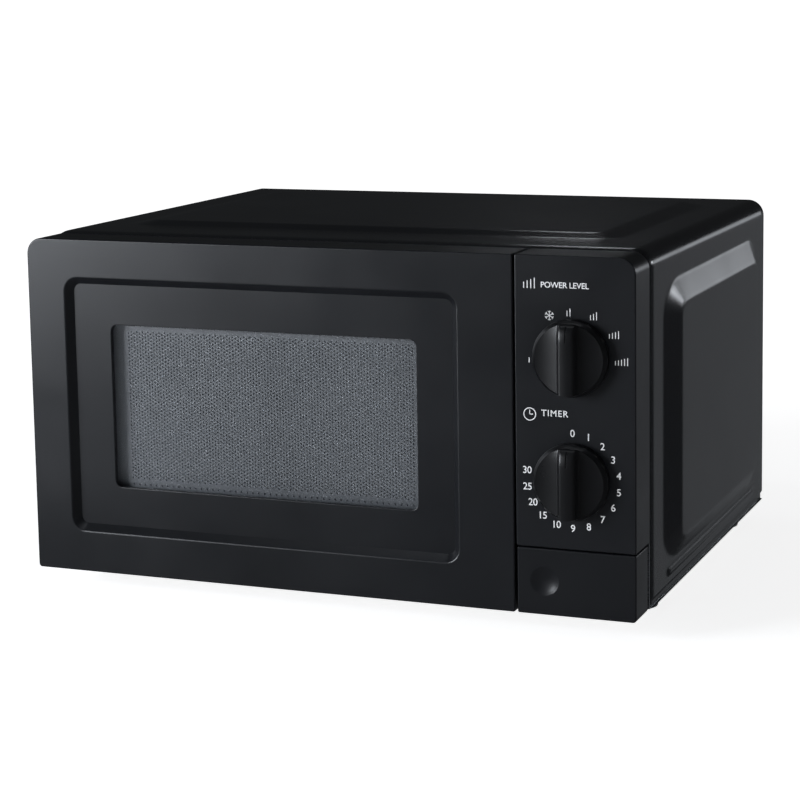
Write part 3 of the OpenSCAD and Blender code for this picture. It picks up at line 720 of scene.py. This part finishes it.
def cell_sheet(centres, corners, hole, limits, y0, y1):
    """A sheet of six-cornered cells, each with a six-sided hole, between two depths, as (points, faces).

    Every cell is a ring of six quads between its own outline and its hole, on both faces, with a wall round
    the hole; an outline side that lies on one of the sheet's four limits gets an outer wall.
    """
    turn = np.radians(np.arange(0, 360, 60))
    holes = centres + np.column_stack([np.cos(turn), np.sin(turn)]) * hole / 2
    n = len(centres)
    layers = [(corners, y0), (holes, y0), (holes, y1), (corners, y1)]
    points = np.stack([np.stack([layer[..., 0], np.full((n, 6), depth), layer[..., 1]], axis=-1)
                       for layer, depth in layers], axis=1)
    faces = (grid_faces(4, 6, False, True)[None] + (np.arange(n) * 24)[:, None, None]).reshape(-1, 4)
    after = np.roll(corners, -1, axis=1)
    left, right, foot, head = limits
    outer = np.zeros((n, 6), bool)
    for axis, value in ((0, left), (0, right), (1, foot), (1, head)):
        outer |= (np.abs(corners[..., axis] - value) < 1e-6) & (np.abs(after[..., axis] - value) < 1e-6)
    cell, side = np.nonzero(outer)
    here, then = cell * 24 + side, cell * 24 + (side + 1) % 6
    walls = np.column_stack([here, then, then + 18, here + 18])
    return points.reshape(-1, 3), np.concatenate([faces, walls])


def hole_field(columns, rows, pitch, origin, limits):
    """Centres and corners of a staggered field of six-sided cells, its edge drawn out to the limits."""
    turn = np.radians(np.arange(0, 360, 60))
    col, row = np.meshgrid(np.arange(columns), np.arange(rows), indexing="ij")
    x = origin[0] + col * pitch * math.sqrt(3) / 2
    z = origin[1] + (row + 0.5 * (col % 2)) * pitch
    centres = np.stack([x, z], axis=-1).reshape(-1, 1, 2)
    corners = centres + np.column_stack([np.cos(turn), np.sin(turn)]) * pitch / math.sqrt(3)
    left, right, foot, head = limits
    near = 0.36 * pitch
    cx, cz = corners[..., 0], corners[..., 1]
    cx = np.where(cx < x.min() - 0.1, left, np.where(cx > x.max() + 0.1, right, cx))
    cz = np.where(cz < z.min() + near, foot, np.where(cz > z.max() - near, head, cz))
    return centres, np.stack([cx, cz], axis=-1)


def hole_row(count, limits, height):
    """Centres and corners of one row of box-shaped cells, with the hole of each at a height."""
    left, right, foot, head = limits
    width = (right - left) / count
    x = left + width * (np.arange(count) + 0.5)
    centres = np.stack([x, np.full(count, height)], axis=-1)[:, None, :]
    reach = np.array([1, 1, -1, -1, -1, 1]) * width / 2
    level = np.array([height, head, head, height, foot, foot])
    corners = np.stack([x[:, None] + reach, np.broadcast_to(level, (count, 6))], axis=-1)
    return centres, corners


def plate_ring(outer, inner, y0, y1):
    """A flat frame between two rectangles and two depths."""
    out = round_rect(*outer, (0.02,) * 4, corner=2, side=2)
    inn = round_rect(*inner, (0.02,) * 4, corner=2, side=2)
    return np.array([ring(out, y0), ring(inn, y0), ring(inn, y1), ring(out, y1)])


class MICROWAVE_OT_screen(bpy.types.Operator):
    """Build the perforated door plate"""

    bl_idname = "microwave.screen"
    bl_label = "Perforated screen"

    def execute(self, context):
        sizes = context.scene.microwave_screen
        low, high = span("door_plate")
        pane_low, pane_high = span("door_window")
        pitch, hole, sheet = sizes.pitch / MM, sizes.hole / MM, sizes.sheet / MM
        step = pitch * math.sqrt(3) / 2
        # Space beside the holes and over and under them, and how far the field stands right of the middle
        side_space, end_space, off_middle = 20, 17, 1.8
        # Margin round the field, and distance and half height of the single rows over and under it
        margin, row_gap, row_half, front = 1.6, 4.4, 2, low[1]
        columns = 2 * int((pane_high[0] - pane_low[0] - side_space) / step / 2) + 1
        rows = int((pane_high[2] - pane_low[2] - end_space) / pitch)
        x0 = (pane_low[0] + pane_high[0]) / 2 - (columns - 1) * step / 2 + off_middle
        z0 = (pane_low[2] + pane_high[2]) / 2 - (rows - 0.5) * pitch / 2
        x1, z1 = x0 + (columns - 1) * step, z0 + (rows - 0.5) * pitch
        field = (x0 - margin, x1 + margin, z0 - margin, z1 + margin)
        foot_row = (field[0], field[1], z0 - row_gap - row_half, field[2])
        head_row = (field[0], field[1], field[3], z1 + row_gap + row_half)
        rear = front + sheet
        solids = [cell_sheet(*hole_field(columns, rows, pitch, (x0, z0), field), hole, field, front, rear)]
        for limits, height in ((foot_row, z0 - row_gap), (head_row, z1 + row_gap)):
            solids.append(cell_sheet(*hole_row(columns // 2, limits, height), hole, limits, front, rear))
        whole = (low[0], high[0], low[2], high[2])
        border = plate_ring(whole, (field[0], field[1], foot_row[2], head_row[3]), front, rear)
        inside = (whole[0] + 1, whole[1] - 1, whole[2] + 1, whole[3] - 1)
        skirt = plate_ring(whole, inside, rear, high[1] - 0.1)
        solids.append(join_grids((border, True, True), (skirt, True, True)))
        starts = np.cumsum([0] + [len(points) for points, _ in solids])
        points = np.concatenate([points for points, _ in solids])
        faces = np.concatenate([cells + start for (_, cells), start in zip(solids, starts)])
        new_piece("perforated_plate", (points, faces), "screen_paint", "door", ("door_plate",), sharp=20)
        return {"FINISHED"}


def chord_disc(lines, radius, along):
    """Points of a disc as chords: each line stands at its own distance and runs to the circle both ways."""
    reach = np.sqrt(np.maximum(radius ** 2 - lines ** 2, 0))
    spread = np.sin(np.linspace(-math.pi / 2, math.pi / 2, along))
    return np.broadcast_to(lines[:, None], (len(lines), along)), reach[:, None] * spread[None, :]


# The knob's face: share of its rise in the hollow slope and width of the blade's flank, how much the ridge is
# hollowed to its sides, share of the rise left at the pointer's tip, and half width and depth of its line
HOLLOW_SHARE, FLANK, CROWN, TIP_SHARE, LINE_HALF, LINE_DEPTH = 0.40, 3.0, 0.45, 0.25, 0.4, 0.45


def blade_height(x, z, radius, sizes, rise):
    """Height of the knob's face over its rim.

    A hollow slope climbs from the rim to the foot of a grip blade, the blade stands on it with steep flanks,
    and its pointer end falls away as a ramp with an engraved line along its middle.
    """
    ridge, ramp = sizes.ridge / MM / 2, sizes.ramp / MM
    off = np.clip((np.abs(x) - ridge) / (radius - ridge), 0, 1)
    hollow = HOLLOW_SHARE * (1 - off) ** 1.8
    flank = (1 - HOLLOW_SHARE) * (1 - smooth_step((np.abs(x) - ridge + 0.6) / FLANK))
    end = np.clip((z - radius + ramp) / ramp, 0, 1)
    fall = TIP_SHARE + (1 - TIP_SHARE) * np.sqrt(np.clip(1 - end ** 2, 0, 1))
    crown = CROWN * np.clip(np.abs(x) / ridge, 0, 1) ** 2
    line = LINE_DEPTH * (np.abs(x) < LINE_HALF) * (z > radius - ramp) * (z < radius - 1.2)
    return (rise * (hollow + flank) - crown * (1 - off)) * fall - line


def knob_shape(radius, sizes, reach):
    """A dial knob round its own axis: its face over a disc of chords, and its skirt with the hollow back."""
    face, top_r, ridge = sizes.face / MM, radius - sizes.chamfer / MM, sizes.ridge / MM / 2
    middle = np.array([-0.55, -0.38, 0, 0.38, 0.55])
    inner = np.linspace(0.55, ridge, 7)[1:]
    flank = ridge + np.linspace(0, 2.8, 12)[1:]
    outer = ridge + 2.8 + (top_r - ridge - 2.8) * np.sin(np.linspace(0, math.pi / 2, 16)[1:])
    right = np.concatenate([inner, flank, outer])
    x, z = chord_disc(np.concatenate([-right[::-1], middle, right]), top_r, 81)
    out = blade_height(x, z, top_r, sizes, reach - face)
    front = np.stack([x, -(face + out), z], axis=-1)
    # The wall: from the edge of the face out over a chamfer and back to the panel, then the hollow behind
    loop = np.concatenate([front[:, -1], front[::-1, 0]])
    spin = np.arctan2(loop[:, 2], loop[:, 0])
    circle = np.stack([np.cos(spin), np.zeros_like(spin), np.sin(spin)], axis=-1)
    skirt, hollow = 0.8, 2.2
    wall = [circle * top_r + loop * (0, 1, 0)]
    for r, depth in ((top_r + 0.12, 0.12 - face), (radius - 0.3, 1.9 - face), (radius, 2.5 - face),
                     (radius, -1.2), (radius - 0.4, -skirt), (radius - hollow, -skirt),
                     (radius - hollow, 2.4 - face), (0, 2.4 - face)):
        wall.append(circle * r + (0, depth, 0))
    return front, np.array(wall)


class MICROWAVE_OT_knobs(bpy.types.Operator):
    """Build the two dial knobs with their grip blades and pointer lines"""

    bl_idname = "microwave.knobs"
    bl_label = "Dial knobs"

    def execute(self, context):
        for name, node, body in (("timer_dial_knob", "timer_knob", "timer_dial"),
                                 ("power_dial_knob", "power_knob", "power_dial")):
            low, high = span(node)
            centre = ((low[0] + high[0]) / 2, 0, (low[2] + high[2]) / 2)
            front, wall = knob_shape((high[0] - low[0]) / 2, context.scene.microwave_knob, -low[1])
            shape = join_grids((front + centre, False, False), (wall + centre, False, True))
            new_piece(name, shape, "knob_plastic", body, (node,), sharp=38)
        return {"FINISHED"}


# Gap between the panel and the key, depth and thickness of the walls of each, and depth of both faces' backs
KEY_GAP, PANEL_DEEP, PANEL_WALL, KEY_DEEP, KEY_WALL, FACE_BACK = 0.9, 32, 2.0, 27, 2.2, 2.6
# Where the back of the key's face closes
KEY_MIDDLE = (180.0, 22.0)
# Finger dish: its middle from the key's left edge and in height, the radius of the ball that it is cut by,
# the rings from its rim to its middle as shares of its radius, and how far the rings near its rim are sunk
DISH_MIDDLE, BALL = (18.6, 22.5), 24.3
DISH_SHARES = (1.12, 1.04, 1.0, 0.96, 0.9, 0.8, 0.66, 0.5, 0.33, 0.16, 0.0)
DISH_EASE = {1.04: 0.03, 1.0: 0.10, 0.96: 0.10}


class MICROWAVE_OT_panel(bpy.types.Operator):
    """Build the control panel and the release key with its finger dish"""

    bl_idname = "microwave.panel"
    bl_label = "Control panel and key"

    def execute(self, context):
        sizes = context.scene.microwave_front
        edge = sizes.edge / MM
        low, high = span("control_panel")
        key_low, key_high = span("release_key")
        outline = partial(round_rect, low[0], high[0], key_high[2] + KEY_GAP, high[2],
                          (1.2, 1.0, sizes.corner / MM, 1.2))
        # The flat face and its back close on a spine, an outline drawn in to the panel's middle line
        spine = outline(38)
        spine[:, 0] = (low[0] + high[0]) / 2
        rings = [ring(spine, FACE_BACK), *shell_rings(outline, edge, PANEL_DEEP, PANEL_WALL, FACE_BACK),
                 ring(spine, 0)]
        new_piece("panel_moulding", join_grids((np.array(rings), False, True)), "front_plastic", "chassis",
                  ("control_panel",))
        outline = partial(round_rect, key_low[0], key_high[0], key_low[2], key_high[2], (1.2, 2.5, 1.0, 1.0))
        face = outline(edge)
        rings = [hub(KEY_MIDDLE, len(face), FACE_BACK)]
        rings += shell_rings(outline, edge, KEY_DEEP, KEY_WALL, FACE_BACK)
        centre = np.array([key_low[0] + DISH_MIDDLE[0], DISH_MIDDLE[1]])
        spin = np.arctan2(face[:, 1] - centre[1], face[:, 0] - centre[0])
        circle = np.column_stack([np.cos(spin), np.sin(spin)])
        dish_r = sizes.dish / MM
        for share in DISH_SHARES:
            r = dish_r * share
            sunk = math.sqrt(BALL ** 2 - r ** 2) - math.sqrt(BALL ** 2 - dish_r ** 2) if share < 1 else 0.0
            rings.append(ring(centre + r * circle, sunk + DISH_EASE.get(share, 0.0)))
        new_piece("key_moulding", join_grids((np.array(rings), False, True)), "key_plastic", "key",
                  ("release_key",))
        return {"FINISHED"}


# Thickness of the printed marks
PRINT = 0.06


def mark_text(words, size, x, z, spread):
    """Printed lettering centred on a point: a text curve made a mesh, turned to face the front."""
    curve = bpy.data.curves.new("lettering", "FONT")
    curve.body = words
    curve.size = size
    curve.align_x = "CENTER"
    curve.align_y = "CENTER"
    curve.extrude = PRINT / 2
    curve.space_character = spread
    curve.offset = 0.045
    holder = bpy.data.objects.new("lettering", curve)
    bpy.context.scene.collection.objects.link(holder)
    mesh = as_mesh(holder)
    bpy.data.objects.remove(holder)
    flat = np.empty(len(mesh.vertices) * 3)
    mesh.vertices.foreach_get("co", flat)
    flat = flat.reshape(-1, 3)
    flat -= (flat.max(0) + flat.min(0)) / 2
    faces = [list(polygon.vertices) for polygon in mesh.polygons]
    bpy.data.meshes.remove(mesh)
    return np.column_stack([flat[:, 0] + x, -PRINT / 2 - flat[:, 2], flat[:, 1] + z]), faces


def bar_mark(x0, x1, z0, z1):
    """One upright bar as a thin closed plate."""
    return box_shape((x0, -PRINT, z0), (x1, 0, z1))


def spoke_mark(x, z, turn, inner, outer, width):
    """One straight stroke of an icon, turned about its centre."""
    points, sides = bar_mark(-width / 2, width / 2, inner, outer)
    c, s = math.cos(turn), math.sin(turn)
    flat = points[:, [0, 2]] @ np.array([[c, s], [-s, c]])
    return np.column_stack([flat[:, 0] + x, points[:, 1], flat[:, 1] + z]), sides


def circle_mark(x, z, radius, width):
    """A printed circle as a thin closed band."""
    spin = np.linspace(0, 2 * math.pi, 48, endpoint=False)
    turn = np.column_stack([np.cos(spin), np.sin(spin)])
    rings = [ring(turn * r + (x, z), depth) for r, depth in
             ((radius, -PRINT), (radius - width, -PRINT), (radius - width, 0), (radius, 0))]
    points, faces = join_grids((np.array(rings), True, True))
    return points, faces.tolist()


def bars_mark(x, z, count, height, gap=2.0, width=0.55):
    """Rising bars that stand for a power level."""
    marks = []
    for i in range(count):
        tall = height * (0.45 + 0.55 * (i + 1) / count) if count > 1 else height
        left = x + (i - (count - 1) / 2) * gap - width / 2
        marks.append(bar_mark(left, left + width, z - height / 2, z - height / 2 + tall))
    return marks


def joined(marks):
    """Several (points, faces) marks as one."""
    points, faces, start = [], [], 0
    for mark_points, mark_faces in marks:
        points.append(mark_points)
        faces += [[v + start for v in face] for face in mark_faces]
        start += len(mark_points)
    return np.concatenate(points), faces


def middle(node):
    """Middle of a CAD part in width and height, in the front's own measures."""
    low, high = span(node)
    return (low[0] + high[0]) / 2, (low[2] + high[2]) / 2


class MICROWAVE_OT_markings(bpy.types.Operator):
    """Print the markings of the two dials: numbers, power bars, frost and clock icons, two plain words"""

    bl_idname = "microwave.markings"
    bl_label = "Panel markings"

    def execute(self, context):
        # Places are counted from the middle of each dial
        x, z = middle("timer_knob")
        numbers, clock = 31.1, (x - 28.7, z + 42.1)
        marks = [circle_mark(*clock, 4.3, 0.6), spoke_mark(*clock, 0, -0.2, 2.9, 0.6),
                 spoke_mark(*clock, -math.pi / 2, -0.2, 2.2, 0.6)]
        marks.append(mark_text("TIMER", 5.9, x - 11.8, z + 43.4, 1.16))
        for i, number in enumerate((0, 1, 2, 3, 4, 5, 6, 7, 8, 9, 10, 15, 20, 25, 30)):
            turn = math.radians(20 * i)
            place = (x + numbers * math.sin(turn), z + numbers * math.cos(turn))
            marks.append(mark_text(str(number), 6.6, *place, 0.95))
        new_piece("timer_markings", joined(marks), "marking_ink", "chassis", sharp=10)
        x, z = middle("power_knob")
        frost, branch = (x - 15, z + 26.5), 2.0
        marks = bars_mark(x - 28.8, z - 2.8, 1, 3.4)
        marks += [spoke_mark(*frost, math.radians(60 * i), -3.1, 3.1, 0.45) for i in range(3)]
        for i in range(6):
            turn = math.radians(60 * i)
            tip = (frost[0] + branch * math.sin(turn), frost[1] + branch * math.cos(turn))
            marks += [spoke_mark(*tip, -turn + lean, 0, 1.25, 0.4) for lean in (-0.8, 0.8)]
        for count, dx, dz in ((2, -2.2, 29), (3, 14.3, 27.2), (4, 27.7, 15.9), (5, 32.6, -1.1)):
            marks += bars_mark(x + dx, z + dz, count, 5.0)
        marks += bars_mark(x - 28.5, z + 47, 4, 6.8, 2.4, 0.6)
        marks.append(mark_text("POWER LEVEL", 5.25, x - 4.6, z + 46.2, 0.96))
        new_piece("power_markings", joined(marks), "marking_ink", "chassis", sharp=10)
        return {"FINISHED"}


class MICROWAVE_OT_small_parts(bpy.types.Operator):
    """Build the rubber feet and the glass turntable plate as turned shapes"""

    bl_idname = "microwave.small_parts"
    bl_label = "Feet and turntable"

    def execute(self, context):
        low, high = span("feet")
        r, floor = 11.8, low[2]
        # Radius and height: the sole, the tapered side, the collar and the plug through the base
        profile = [(0, floor), (8.6, floor), (9.4, floor + 0.5), (9.8, floor + 1.2), (10.9, -3.2), (r, -1.2),
                   (r, -0.2), (11.2, 0), (4.0, 0), (4.0, high[2]), (0, high[2])]
        grids = [(lathe(profile, (x, y, 0), 40), False, True)
                 for x in (low[0] + r, high[0] - r) for y in (low[1] + r, high[1] - r)]
        new_piece("rubber_feet", join_grids(*grids), "foot_rubber", "chassis", ("feet",))
        low, high = span("turntable_plate")
        centre = ((low[0] + high[0]) / 2, (low[1] + high[1]) / 2, 0)
        r, z0, z1, thick = (high[0] - low[0]) / 2, low[2], high[2], 4.0
        # Radius and height: under the plate from its middle to the raised rim, and back over the top
        profile = [(0, z0), (r * 0.3, z0), (r * 0.84, z0), (r * 0.92, z0 + 1.2), (r * 0.965, z1 - 3.2),
                   (r - 0.8, z1 - 2.2), (r, z1 - 1.2), (r - 0.4, z1 - 0.3), (r - 1.6, z1),
                   (r * 0.95, z1 - 0.8), (r * 0.90, z0 + thick + 0.8), (r * 0.83, z0 + thick),
                   (r * 0.3, z0 + thick), (0, z0 + thick)]
        new_piece("glass_plate", join_grids((lathe(profile, centre, 128), False, True)), "turntable_glass",
                  "turntable", ("turntable_plate",), sharp=50)
        return {"FINISHED"}


def aimed(obj, target):
    """Turns a light so that it faces a point."""
    direction = np.array(target, float) - np.array(obj.location)
    azimuth = math.atan2(direction[0], direction[1])
    tilt = math.atan2(-direction[2], math.hypot(direction[0], direction[1]))
    obj.rotation_euler = (math.pi / 2 - tilt, 0, -azimuth)


LIGHTS = (
    # name, place, target, width, height, power in watts
    ("key_softbox", (-1.38, -1.42, 0.50), (-0.12, -0.15, 0.16), 0.9, 0.9, 30),
    ("rear_screen", (0.66, 1.9, -0.26), (0.22, 0.1, 0.14), 1.05, 0.9, 0.4),
    ("rear_card", (0.86, 2.0, 0.27), (0.21, 0.1, 0.2), 0.5, 0.22, 0.5),
    ("right_softbox", (1.39, 1.70, 0.46), (0.21, 0, 0.2), 0.25, 0.2, 2.2),
    ("glint", (-0.42, 1.64, 1.06), (0.15, -0.1, 0.25), 0.16, 0.10, 0.22),
    ("overhead", (0, -0.55, 1.8), (0, -0.15, 0.2), 1.6, 0.16, 1.6),
    ("left_fill", (-2.2, 0.5, 0.8), (0, 0, 0.12), 0.8, 0.8, 3),
)


# Radius of the floor and of the dome over it, in metres
STAGE_RADIUS = 7


class MICROWAVE_OT_stage(bpy.types.Operator):
    """Set the pale floor, the backdrop, the soft lights and the camera"""

    bl_idname = "microwave.stage"
    bl_label = "Stage"

    def execute(self, context):
        tone = context.scene.microwave_colours.floor
        spin = np.linspace(0, 2 * math.pi, 96, endpoint=False)
        steps = (np.linspace(0, 1, 24) ** 1.4)[:, None] * STAGE_RADIUS
        disc = np.stack([steps * np.cos(spin), steps * np.sin(spin), np.zeros((24, 96))], axis=-1)
        rise = np.linspace(0, math.pi / 2, 24)[:, None]
        across = STAGE_RADIUS * np.cos(rise)
        dome = np.stack([across * np.cos(spin), across * np.sin(spin),
                         STAGE_RADIUS * np.sin(rise) * np.ones(96)], axis=-1)
        for name, grid, flip in (("floor", disc, False), ("backdrop", dome, True)):
            points, faces = join_grids((grid, False, True))
            mesh = bpy.data.meshes.new(name)
            mesh.from_pydata(points.tolist(), [], (faces[:, ::-1] if flip else faces).tolist())
            mesh.shade_smooth()
            made = Finish(name, tone, 0.9)
            made.tinted(made.noise(3, 2), 0.99, 1.01)
            made.fill(made.shader, Emission_Color=(1, 1, 1, 1), Emission_Strength=1.05)
            # The floor glows less near its middle, where the oven stands: a painted shadow round the oven,
            # darker towards the middle
            if name == "floor":
                away = made.node("VectorMath")
                away.operation = "LENGTH"
                made.link(made.place, away.inputs[0])
                made.link(made.ranged(away.outputs["Value"], 0.84, 1.05, 0.3, 1.5),
                          made.shader.inputs["Emission Strength"])
            mesh.materials.append(made.material)
            piece = bpy.data.objects.new(name, mesh)
            context.scene.collection.objects.link(piece)
            piece.visible_glossy = False
            if name == "backdrop":
                piece.visible_diffuse = False
                piece.visible_shadow = False
                piece.visible_transmission = False
        for name, place, target, width, height, power in LIGHTS:
            light = bpy.data.lights.new(name, "AREA")
            light.shape = "RECTANGLE"
            light.size, light.size_y = width, height
            light.energy = power
            light.color = (0.90, 0.94, 1.0)
            lamp = bpy.data.objects.new(name, light)
            lamp.location = place
            aimed(lamp, target)
            lamp.visible_camera = False
            context.scene.collection.objects.link(lamp)
        world = bpy.data.worlds.new("studio")
        world.use_nodes = True
        glow = world.node_tree.nodes["Background"]
        glow.inputs["Color"].default_value = (0.9, 0.95, 1.0, 1)
        glow.inputs["Strength"].default_value = 0.025
        context.scene.world = world
        context.scene.view_settings.view_transform = "Standard"
        camera = bpy.data.cameras.new("camera")
        camera.sensor_width = 36
        camera.lens = 98.775
        camera.shift_x, camera.shift_y = -0.0303, -0.1506
        camera.clip_end = 50
        viewer = bpy.data.objects.new("camera", camera)
        azimuth, elevation, roll = (math.radians(a) for a in (21.512, 7.789, -0.8475))
        stand = placed((595.5, -1313.4, 410.0))
        viewer.matrix_world = (Matrix.Translation(stand) @ Matrix.Rotation(azimuth, 4, "Z")
                               @ Matrix.Rotation(math.pi / 2 - elevation, 4, "X")
                               @ Matrix.Rotation(roll, 4, "Z"))
        context.scene.collection.objects.link(viewer)
        context.scene.camera = viewer
        return {"FINISHED"}


STEPS = (MICROWAVE_OT_finishes, MICROWAVE_OT_case, MICROWAVE_OT_door, MICROWAVE_OT_screen, MICROWAVE_OT_panel,
         MICROWAVE_OT_knobs, MICROWAVE_OT_markings, MICROWAVE_OT_small_parts, MICROWAVE_OT_stage)


class MICROWAVE_PT_panel(bpy.types.Panel):
    """Lists the oven's pieces in the order in which they are built"""

    bl_idname = "MICROWAVE_PT_panel"
    bl_label = "Countertop Microwave"
    bl_space_type = "VIEW_3D"
    bl_region_type = "UI"
    bl_category = "Microwave"

    def draw(self, context):
        for step in STEPS:
            self.layout.operator(step.bl_idname)
        for group in GROUPS:
            box = self.layout.box()
            owner = getattr(context.scene, group)
            for key in owner.__annotations__:
                box.prop(owner, key)


GROUPS = {
    "microwave_case": CaseSizes,
    "microwave_front": FrontSizes,
    "microwave_screen": ScreenSizes,
    "microwave_knob": KnobSizes,
    "microwave_colours": Colours,
}


def register():
    """Registers the property groups, the operators and the panel."""
    for name, group in GROUPS.items():
        bpy.utils.register_class(group)
        setattr(bpy.types.Scene, name, bpy.props.PointerProperty(type=group))
    for cls in (*STEPS, MICROWAVE_PT_panel):
        bpy.utils.register_class(cls)


def unregister():
    """Takes everything out again, in reverse order."""
    for cls in (MICROWAVE_PT_panel, *STEPS[::-1]):
        bpy.utils.unregister_class(cls)
    for name, group in reversed(GROUPS.items()):
        delattr(bpy.types.Scene, name)
        bpy.utils.unregister_class(group)


def main():
    """Builds the whole oven."""
    register()
    for name in ("finishes", "case", "door", "screen", "panel", "knobs", "markings", "small_parts", "stage"):
        getattr(bpy.ops.microwave, name)()


if __name__ == "__main__":
    main()
